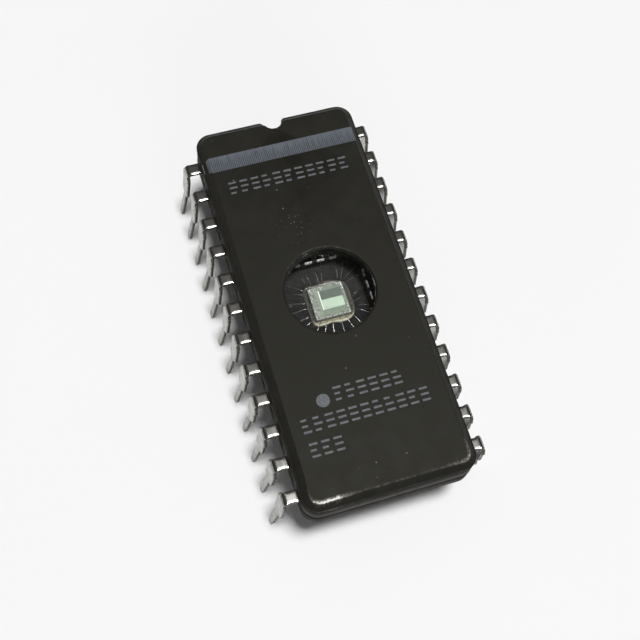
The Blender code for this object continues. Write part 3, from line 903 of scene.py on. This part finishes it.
def leg_stations(pin_end):
    """Distance down from the end of the bend and full width there, with the torn stubs."""
    wide = LEG_WIDTH + 2 * STUB_REACH
    start = STUB_START + BEND_RISE
    end = start + STUB_LENGTH
    stub_foot = end + STUB_ROUND
    leg_end = LEG_LENGTH + BEND_RISE
    kink = leg_end + TAPER_LENGTH
    tip_start = pin_end - TIP_LENGTH
    stations = []
    for share in (0.0, *shares(FLARE_STEPS)):
        width = between(SHOULDER_WIDTH, LEG_WIDTH, ramp(share, 0.0, 1.0))
        stations.append((between(FLARE_START, FLARE_LENGTH, share), width))
    stations += [
        (start - STUB_ROUND, LEG_WIDTH), (start, LEG_WIDTH + 0.05), (start + STUB_ROUND, wide),
        (end - STUB_ROUND, wide), (end, LEG_WIDTH + 0.05), (stub_foot, LEG_WIDTH),
    ]
    stations += [(between(stub_foot, leg_end, share), LEG_WIDTH) for share in shares(LEG_STEPS)]
    for share in shares(TAPER_STEPS):
        width = between(LEG_WIDTH, PIN_WIDTH, 0.35 * share + 0.65 * ramp(share, 0, 1))
        stations.append((leg_end + TAPER_LENGTH * share, width))
    stations += [(between(kink, tip_start, share), PIN_WIDTH) for share in shares(PIN_STEPS)[:-1]]
    for share in (0.0, *shares(TIP_STEPS)):
        angle = math.pi / 2 * share
        width = between(TIP_WIDTH, PIN_WIDTH, math.cos(angle))
        stations.append((tip_start + TIP_LENGTH * math.sin(angle), width))
    return stations


def leaning(angle):
    """The ways out of the face and down it, for a leg of the -X row that leans out by angle."""
    out = Vector((-math.cos(angle), 0.0, math.sin(angle)))
    down = Vector((-math.sin(angle), 0.0, -math.cos(angle)))
    return out, down


def lead_mesh(row, materials):
    """A lead of the -X row, from the finger's tip at the cavity to the tip of the pin."""
    y = lead_y(row)
    half = LEAD_THICKNESS / 2
    up, side = Vector((0.0, 0.0, 1.0)), Vector((0.0, -1.0, 0.0))
    bm = bmesh.new()
    rings = []

    def ring(middle, across, out, half_width, edge, crown=0.0, dent=0.0):
        """Adds a section of the strip, whose faces wander in and out by up to the dent."""
        verts = []
        for u, v in strip_section(half_width, edge, crown):
            point = middle + across * u + out * v
            depth = rough(point.x * 2.2, point.y * 2.2, point.z * 2.2, seed=11 + row)
            verts.append(bm.verts.new(point + out * depth * dent))
        rings.append(verts)

    for point, across, half_width in finger_stations(row):
        ring(Vector((*point, LEAD_MIDDLE)), Vector((*across, 0.0)), up, half_width, 0.05)
    neck = len(rings) - 1

    outer_radius = BEND_RADIUS + LEAD_THICKNESS
    bend_x = ROW_SPACING / 2 + half - outer_radius
    neck_x = HALF_WIDTH - NECK_DEPTH
    for share in shares(SHOULDER_STEPS):
        middle = Vector((-between(neck_x, bend_x, share), y, LEAD_MIDDLE))
        dome = SHOULDER_DOME * swell(share, SHOULDER_DOME_MIDDLE, SHOULDER_DOME_REACH)
        ring(middle, side, up, SHOULDER_WIDTH / 2, 0.04, dome)

    centre = Vector((-bend_x, y, SHOULDER_TOP - outer_radius))
    for share in shares(BEND_STEPS):
        out, _ = leaning(between(math.pi / 2, LEG_SPLAY, share))
        foot = centre + out * (BEND_RADIUS + half)
        ring(foot, side, out, SHOULDER_WIDTH / 2, 0.04 + 0.02 * share, 0.0, 0.002)

    kink = LEG_LENGTH + BEND_RISE + TAPER_LENGTH
    leg_out, leg_down = leaning(LEG_SPLAY)
    pin_out, pin_down = leaning(PIN_SPLAY)
    kink_point = foot + leg_down * kink
    pin_end = kink + kink_point.z / -pin_down.z
    for distance, width in leg_stations(pin_end):
        if distance < kink - 1e-6:
            out, point = leg_out, foot + leg_down * distance
        else:
            out = leg_out.lerp(pin_out, ramp(distance, kink - 0.01, kink + 0.2)).normalized()
            point = kink_point + pin_down * (distance - kink)
        torn = 0.0
        if 0.0 < distance - STUB_START - BEND_RISE < STUB_LENGTH:
            torn = 0.012 * rough(distance * 9.0, row * 3.1, seed=12)
        ring(point, side, out, width / 2 + torn, 0.10, 0.0, 0.003)

    for vert in bm.verts:
        vert.co.z = max(vert.co.z, 0.0)
    lowest = min(vert.co.z for vert in rings[-1])
    for vert in rings[-1]:
        vert.co.z = lowest
    skin(bm, rings[:2], SHEARED_END)
    skin(bm, rings[1:neck + 1], PLATING)
    skin(bm, rings[neck:], STRIP_SEGMENTS)
    cap_ring(bm, rings[0], SHEARED_END)
    cap_ring(bm, rings[-1], SHEARED_SIDE)
    return finish_mesh("lead_form_%02d" % (row + 1), bm, materials, 50.0)


def make_leads(materials):
    """Each lead has tin outside, smooth plating on its finger and a sheared end at the cavity."""
    half_turn = Matrix.Rotation(math.pi, 4, "Z")
    for row in range(LEADS_PER_ROW):
        mesh = lead_mesh(row, materials)
        for number, turn in ((row + 1, None), (row + 1 + LEADS_PER_ROW, half_turn)):
            place_piece("lead_form_%02d" % number, mesh, ["lead_%02d" % number], turn)


# Materials

class Nodes:
    """Short ways to write a node tree."""

    def __init__(self, name):
        self.material = bpy.data.materials.new(name)
        self.material.use_nodes = True
        self.tree = self.material.node_tree
        self.shader = self.tree.nodes["Principled BSDF"]
        self.place = self.add("ShaderNodeTexCoord").outputs["Object"]

    def add(self, kind, sockets=(), **settings):
        """A new node with its settings, and its sockets, by name or number, set or linked."""
        node = self.tree.nodes.new(kind)
        for key, value in settings.items():
            setattr(node, key, value)
        for name, value in dict(sockets).items():
            self.feed(node.inputs[name], value)
        return node

    def feed(self, socket, value):
        if isinstance(value, bpy.types.NodeSocket):
            self.tree.links.new(value, socket)
        elif socket.type == "RGBA":
            socket.default_value = (*value, 1.0)
        else:
            socket.default_value = value

    def axis(self, name):
        return self.add("ShaderNodeSeparateXYZ", {0: self.place}).outputs[name]

    def math(self, operation, a, b=0.0):
        return self.add("ShaderNodeMath", {0: a, 1: b}, operation=operation).outputs[0]

    def times(self, a, b):
        return self.math("MULTIPLY", a, b)

    def plus(self, a, b):
        return self.math("ADD", a, b)

    def mix(self, factor, first, second):
        sockets = {"Factor": factor, "A": first, "B": second}
        return self.add("ShaderNodeMix", sockets, data_type="RGBA").outputs["Result"]

    def tones(self, value, low, high, first, second):
        """One colour where the value is low, another where it is high, and a soft change between."""
        return self.mix(self.span(value, low, high), first, second)

    def span(self, value, low, high, to_low=0.0, to_high=1.0, kind="SMOOTHSTEP"):
        """Maps a value from one span to another, held at both ends."""
        sockets = {
            "Value": value, "From Min": low, "From Max": high, "To Min": to_low, "To Max": to_high}
        return self.add("ShaderNodeMapRange", sockets, interpolation_type=kind).outputs["Result"]

    def vector(self, operation, value):
        """Does something to the place with another vector."""
        return self.add("ShaderNodeVectorMath", {0: self.place, 1: value}, operation=operation)

    def stretch(self, *scale):
        return self.vector("MULTIPLY", scale).outputs["Vector"]

    def noise(self, size, detail=3.0, roughness=0.55, place=None):
        """Noise with features of about size millimetres."""
        sockets = {
            "Vector": place or self.place, "Scale": 1.0 / (size * MM), "Detail": detail,
            "Roughness": roughness}
        return self.add("ShaderNodeTexNoise", sockets).outputs["Fac"]

    def specks(self, spacing, radius, share, place=None):
        """A mask of scattered specks: cells of the spacing, of which a share hold a speck."""
        sockets = {"Vector": place or self.place, "Scale": 1.0 / (spacing * MM)}
        cells = self.add("ShaderNodeTexVoronoi", sockets)
        near = self.span(cells.outputs["Distance"], radius * 0.6, radius, 1.0, 0.0)
        split = self.add("ShaderNodeSeparateColor", {"Color": cells.outputs["Color"]})
        return self.times(near, self.math("LESS_THAN", split.outputs["Red"], share))

    def close_to(self, centre, reach):
        """One at a place on the cap's top, in mm, and nothing beyond its reach."""
        away = self.vector("DISTANCE", Vector((*centre, cap_high.z)) * MM)
        return self.span(away.outputs["Value"], 0.0, reach * MM, 1.0, 0.0)

    def bump(self, height, distance, strength):
        sockets = {"Height": height, "Distance": distance * MM, "Strength": strength}
        return self.add("ShaderNodeBump", sockets).outputs["Normal"]

    def attribute(self, name):
        return self.add("ShaderNodeAttribute", attribute_name=name).outputs["Fac"]

    def set(self, base_color, **values):
        """Feeds the shader's sockets, each under its own name in small letters."""
        self.feed(self.shader.inputs["Base Color"], base_color)
        for key, value in values.items():
            name = key.replace("_", " ").title().replace("Ior", "IOR")
            self.feed(self.shader.inputs[name], value)
        return self.material


def shade(colour, share):
    return tuple(min(part * share, 1.0) for part in colour)


def ceramic_material(name, colour, specular, dusty=False):
    """Pressed ceramic that pales with wear and is painted near white, as a highlight, where the ridge is
    rubbed most, with dust and crumbs on the top face.
    """
    n = Nodes(name)
    mottle = n.noise(1.6, 4.0, 0.6)
    grain = n.noise(0.09, 4.0, 0.7)
    base = n.tones(mottle, 0.3, 0.7, shade(colour, 0.80), shade(colour, 1.22))
    pits = n.span(grain, 0.30, 0.42, 1.0, 0.0)
    base = n.mix(n.times(pits, 0.35), base, shade(colour, 0.4))
    flecks = n.specks(0.16, 0.16, 0.10)
    base = n.mix(n.times(flecks, 0.22), base, (0.12, 0.115, 0.10))
    if dusty:
        dust = n.specks(0.75, 0.10, 0.12)
        fine = n.times(n.specks(0.34, 0.10, 0.05), 0.5)
        smear = n.times(n.specks(0.24, 0.24, 0.42), n.close_to(DUST_CENTRE, DUST_REACH))
        crumbs = n.times(n.specks(0.55, 0.11, 0.22), n.close_to(CRUMB_CENTRE, CRUMB_REACH))
        for more in (fine, smear, crumbs):
            dust = n.math("MAXIMUM", dust, more)
        base = n.mix(n.times(dust, 0.45), base, (0.30, 0.28, 0.24))
    # The ridge attribute pales the edge with wear, and also paints a highlight along the near edge and its
    # two corners.
    wear_and_sheen = n.attribute("wear_and_sheen")
    broken = n.span(n.noise(0.10, 3.0, 0.7), 0.35, 0.62)
    wear_and_sheen = n.times(wear_and_sheen, n.plus(n.times(broken, 0.6), 0.4))
    wear_and_sheen = n.span(wear_and_sheen, 0.04, 1.0, kind="LINEAR")
    base = n.mix(wear_and_sheen, base, (0.50, 0.47, 0.41))
    roughness = n.span(mottle, 0.3, 0.7, 0.50, 0.60)
    height = n.plus(n.times(grain, 0.6), n.times(n.noise(0.45, 2.0), 0.4))
    # Painted highlight: the parts of the ridge with the highest values are painted near white, standing in
    # for the lamp's glint.
    base = n.tones(wear_and_sheen, 0.35, 0.75, base, (0.93, 0.91, 0.86))
    return n.set(base, roughness=roughness, specular_ior_level=specular, specular_tint=(1.0, 0.99, 0.86),
                 normal=n.bump(height, 0.012, 0.6))


def frit_material():
    n = Nodes("frit_glass")
    streak = n.noise(0.5, 3.0, 0.6, place=n.stretch(1.0, 1.0, 0.35))
    base = n.tones(streak, 0.32, 0.68, (0.022, 0.020, 0.017), (0.046, 0.042, 0.036))
    bubbles = n.specks(0.22, 0.14, 0.12)
    base = n.mix(n.times(bubbles, 0.5), base, (0.012, 0.011, 0.010))
    height = n.plus(n.noise(0.3, 3.0), n.times(bubbles, -0.4))
    return n.set(base, roughness=n.span(streak, 0.3, 0.7, 0.45, 0.60), specular_ior_level=0.1,
                 normal=n.bump(height, 0.02, 0.5))


def cavity_floor_material():
    n = Nodes("cavity_floor")
    mottle = n.noise(0.7, 4.0)
    base = n.tones(mottle, 0.3, 0.7, (0.0102, 0.0102, 0.0104), (0.0143, 0.0143, 0.0145))
    return n.set(base, roughness=0.6, specular_ior_level=0.15, normal=n.bump(n.noise(0.06, 3.0), 0.01, 0.5))


def tin_material():
    """Dull tin with clouds, stains and pits that differ from lead to lead."""
    n = Nodes("tin_plating")
    info = n.add("ShaderNodeObjectInfo")
    shift = n.add("ShaderNodeCombineXYZ", {"X": info.outputs["Random"]})
    place = n.vector("ADD", shift.outputs[0]).outputs["Vector"]
    cloud = n.noise(0.55, 4.0, 0.6, place=place)
    fine = n.noise(0.10, 4.0, 0.65, place=place)
    base = n.tones(cloud, 0.32, 0.66, (0.215, 0.211, 0.195), (0.345, 0.340, 0.317))
    stain = n.span(n.noise(0.28, 3.0, 0.6, place=place), 0.60, 0.74)
    base = n.mix(n.times(stain, 0.75), base, (0.15, 0.14, 0.12))
    pits = n.specks(0.20, 0.13, 0.14, place=place)
    base = n.mix(n.times(pits, 0.6), base, (0.13, 0.12, 0.10))
    roughness = n.span(cloud, 0.3, 0.7, 0.28, 0.19)
    height = n.plus(n.times(fine, 0.4), n.times(pits, -0.4))
    return n.set(base, roughness=roughness, metallic=1.0, normal=n.bump(height, 0.003, 0.15))


def window_material():
    """Clear glass that lets lamps through to the die, without bending the view of it."""
    n = Nodes("clear_window")
    tint = (0.945, 0.95, 0.935)
    n.set(tint, roughness=0.02, ior=1.02, transmission_weight=1.0, coat_weight=0.25, coat_roughness=0.03,
          coat_ior=1.45)
    clear = n.add("ShaderNodeBsdfTransparent", {"Color": tint})
    path = n.add("ShaderNodeLightPath")
    mix = n.add("ShaderNodeMixShader", {
        "Fac": path.outputs["Is Shadow Ray"], 1: n.shader.outputs[0], 2: clear.outputs[0]})
    n.feed(n.tree.nodes["Material Output"].inputs["Surface"], mix.outputs[0])
    return n.material


def plain_material(name, colour, roughness, metallic, grain, depth, vary):
    """One colour that varies by a share, with bumps of the grain's size and depth in mm."""
    n = Nodes(name)
    cloud = n.noise(grain * 4, 3.0)
    base = n.tones(cloud, 0.3, 0.7, shade(colour, 1 - vary), shade(colour, 1 + vary))
    return n.set(base, roughness=roughness, metallic=metallic,
                 normal=n.bump(n.noise(grain, 3.0), depth, 0.5))


def bed_material():
    """Dull solder, paler on its near side and along its outer rim."""
    n = Nodes("bed_solder")
    near = n.span(n.axis("Y"), -1.0 * MM, -1.5 * MM)
    cloud = n.noise(0.35, 3.0, 0.6)
    pale = n.plus(near, n.times(n.attribute("rim"), 0.45))
    pale = n.times(pale, n.span(cloud, 0.25, 0.7, 0.7, 1.1))
    base = n.mix(pale, (0.075, 0.075, 0.063), (0.50, 0.465, 0.35))
    return n.set(base, roughness=0.42, metallic=0.3, normal=n.bump(cloud, 0.02, 0.4))


def sheared_side_material():
    """Rough dark metal of the strip's sheared sides and of the torn stubs."""
    n = Nodes("sheared_side")
    lines = n.noise(0.06, 3.0, 0.6, place=n.stretch(1.0, 1.0, 0.3))
    base = n.tones(lines, 0.35, 0.65, (0.08, 0.077, 0.066), (0.16, 0.153, 0.134))
    return n.set(base, roughness=0.5, metallic=0.6, specular_ior_level=0.2, normal=n.bump(lines, 0.008, 0.5))


def seal_rim_material():
    n = Nodes("seal_rim")
    base = n.mix(n.noise(0.5, 3.0), (0.010, 0.009, 0.007), (0.020, 0.018, 0.013))
    return n.set(base, roughness=0.5, specular_ior_level=0.12, normal=n.bump(n.noise(0.2, 3.0), 0.01, 0.5))


def ink_material():
    """Fine hatching across the band, broken and rubbed bare in places."""
    n = Nodes("print_ink")
    turn = n.times(n.axis("X"), 2 * math.pi / (HATCH_PITCH * MM))
    sway = n.times(n.noise(0.6, 2.0, place=n.stretch(1.0, 0.1, 1.0)), 9.0)
    comb = n.math("SINE", n.plus(turn, sway))
    broken = n.noise(0.16, 3.0, 0.7, place=n.stretch(1.0, 0.45, 1.0))
    lines = n.span(n.plus(comb, n.times(broken, 3.0)), 1.0, 2.1)
    column = n.noise(0.30, 2.0, 0.7, place=n.stretch(1.0, 0.05, 1.0))
    level = n.span(n.axis("Y"), BAND_LOW * MM, BAND_HIGH * MM, kind="LINEAR")
    drop = n.math("SUBTRACT", n.times(column, 1.6), n.times(level, 0.8))
    drop = n.plus(drop, n.times(n.noise(1.6, 2.0), 0.5))
    bare = n.times(lines, n.span(drop, 0.25, 0.75))
    base = n.mix(n.times(bare, 0.88), (0.108, 0.124, 0.146), (0.034, 0.036, 0.040))
    crumbs = n.span(n.noise(0.05, 3.0, 0.7), 0.62, 0.70)
    base = n.mix(n.times(crumbs, 0.6), base, (0.022, 0.021, 0.019))
    return n.set(base, roughness=0.62, specular_ior_level=0.3, normal=n.bump(comb, 0.006, 0.4))


def field_material(name, dark, light, pitch):
    """A field of fine repeated lines both ways, too small to count from a step away."""
    n = Nodes(name)
    turns = 2 * math.pi / (pitch * MM)
    waves = [n.math("SINE", n.times(n.axis(axis), turns)) for axis in ("X", "Y")]
    lattice = n.times(*waves)
    tone = n.plus(n.times(lattice, 0.25), n.noise(0.4, 3.0))
    base = n.tones(tone, 0.25, 0.75, dark, light)
    return n.set(base, roughness=0.38, normal=n.bump(lattice, 0.002, 0.4))


def die_materials():
    """Silicon, core, sense line, pale field, dark field, traces, pads and border, in that order."""
    return [
        plain_material("die_silicon", (0.035, 0.036, 0.033), 0.40, 0.0, 0.03, 0.004, 0.3),
        field_material("die_core", (0.165, 0.205, 0.162), (0.220, 0.265, 0.213), 0.05),
        plain_material("die_sense", (0.86, 0.92, 0.86), 0.35, 0.0, 0.05, 0.002, 0.05),
        field_material("die_pale", (0.47, 0.60, 0.48), (0.54, 0.66, 0.54), 0.022),
        field_material("die_dark", (0.085, 0.108, 0.090), (0.112, 0.135, 0.116), 0.022),
        plain_material("die_trace", (0.38, 0.41, 0.37), 0.34, 0.1, 0.03, 0.002, 0.4),
        plain_material("die_pad", (0.85, 0.88, 0.86), 0.30, 0.8, 0.02, 0.002, 0.1),
        plain_material("die_border", (0.215, 0.235, 0.212), 0.38, 0.0, 0.05, 0.003, 0.6),
    ]


# Stage

def make_floor():
    n = Nodes("paper_floor")
    tone = n.mix(n.noise(40.0, 2.0), (0.93, 0.93, 0.93), (0.95, 0.95, 0.95))
    n.set(tone, roughness=0.9, specular_ior_level=0.1)
    mesh = bpy.data.meshes.new("floor")
    corners = [(-1, -1), (1, -1), (1, 1), (-1, 1)]
    mesh.from_pydata([(x * FLOOR_HALF, y * FLOOR_HALF, 0.0) for x, y in corners], [], [range(4)])
    mesh.materials.append(n.material)
    floor = bpy.data.objects.new("floor", mesh)
    show(floor)


def add_lamp(name, kind, place, target, **settings):
    light = bpy.data.lights.new(name, kind)
    for key, value in settings.items():
        setattr(light, key, value)
    lamp = bpy.data.objects.new(name, light)
    lamp.location = place
    lamp.rotation_mode = "QUATERNION"
    lamp.rotation_quaternion = (Vector(target) - Vector(place)).to_track_quat("-Z", "Y")
    show(lamp)


def make_room():
    """A room that is bright at the horizon and under the roof and dark between them."""
    world = bpy.data.worlds.new("studio")
    bpy.context.scene.world = world
    world.use_nodes = True
    tree = world.node_tree
    way = tree.nodes.new("ShaderNodeTexCoord")
    split = tree.nodes.new("ShaderNodeSeparateXYZ")
    room = tree.nodes.new("ShaderNodeValToRGB")
    background = tree.nodes["Background"]
    stops = room.color_ramp.elements
    stops[-1].position = 0.95
    for height in (0.05, 0.10, 0.15):
        stops.new(height)
    for stop, tone in zip(stops, (HORIZON, HORIZON, WALL, WALL, ROOF)):
        stop.color = (tone, tone, tone, 1.0)
    tree.links.new(way.outputs["Generated"], split.inputs[0])
    tree.links.new(split.outputs["Z"], room.inputs["Fac"])
    tree.links.new(room.outputs["Color"], background.inputs["Color"])
    background.inputs["Strength"].default_value = 1.0


def make_lights():
    """A broad high lamp, a weak one in front and the room."""
    add_lamp("key", "SUN", KEY_FROM, (0.0, 0.0, 0.0), energy=KEY_STRENGTH, angle=KEY_ANGLE)
    add_lamp("front", "AREA", FRONT_PLACE, FRONT_TARGET, energy=FRONT_POWER, shape="RECTANGLE",
             size=FRONT_SIZE[0], size_y=FRONT_SIZE[1])
    make_room()


def make_camera():
    data = bpy.data.cameras.new("camera")
    data.lens = CAMERA_LENS
    data.sensor_width = SENSOR
    data.clip_start = 0.005
    data.clip_end = 10.0
    camera = bpy.data.objects.new("camera", data)
    camera.location = [value * MM for value in CAMERA_PLACE]
    camera.rotation_euler = [math.radians(value) for value in CAMERA_TURN]
    show(camera)
    bpy.context.scene.camera = camera


def main():
    ceramic = ceramic_material("dark_ceramic", (0.0125, 0.0120, 0.0095), 0.17, dusty=True)
    base_side = ceramic_material("ceramic_side", (0.0180, 0.0165, 0.0130), 0.05)
    # The cap's sides get a darker copy of the cap's ceramic: painted shade.
    cap_side_painted_shade = ceramic_material("cap_side_painted_shade", (0.0085, 0.0080, 0.0062), 0.05)
    # The shelf inside the cavity gets a darker copy of the frit glass: painted shade in the recess.
    shelf = plain_material("shelf_glass_painted_shade", (0.010, 0.010, 0.009), 0.5, 0.0, 0.2, 0.01, 0.3)
    plating = plain_material("finger_plating", (0.42, 0.42, 0.41), 0.14, 1.0, 0.1, 0.002, 0.2)
    sheared = plain_material("sheared_end", (0.80, 0.80, 0.80), 0.55, 0.5, 0.05, 0.01, 0.2)
    wire = plain_material("aluminium_wire", (0.78, 0.78, 0.755), 0.21, 1.0, 0.05, 0.0002, 0.1)
    mark = plain_material("mark_ink", (0.105, 0.113, 0.123), 0.6, 0.0, 0.05, 0.004, 0.25)
    make_cap([ceramic, cap_side_painted_shade])
    make_base([base_side, cavity_floor_material()])
    make_glass([frit_material(), shelf])
    make_window(window_material(), seal_rim_material())
    make_leads([tin_material(), plating, sheared, sheared_side_material()])
    make_die(die_materials())
    make_bed(bed_material())
    make_wires(wire)
    make_print(ink_material(), mark)
    make_floor()
    make_lights()
    make_camera()
    bpy.context.scene.view_settings.view_transform = "Standard"


main()
